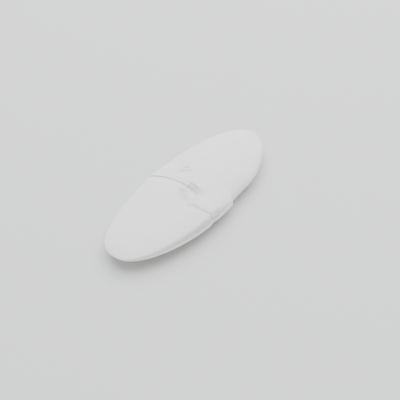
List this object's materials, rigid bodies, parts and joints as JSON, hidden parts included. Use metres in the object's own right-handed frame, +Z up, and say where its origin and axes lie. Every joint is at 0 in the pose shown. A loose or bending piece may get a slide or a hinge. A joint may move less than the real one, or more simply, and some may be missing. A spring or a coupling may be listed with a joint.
{
  "type": "cuttlebone",
  "caption": "Dried cuttlebone, a long oval chalky shell, domed on both sides, lying on its back with a stepped growth line across the upper face.",
  "frame": {"origin": "on the surface the bone lies on, below the middle of its length and width", "axes": "+Y to the bone's front end, +X to its right-hand margin, +Z up out of the chalky side"},
  "size_m": [0.0538, 0.125, 0.0178],
  "materials": {
    "chalk": "matte, dry and chalky"
  },
  "bodies": {
    "root": {"cuttlebone": "chalk"}
  },
  "joints": []
}
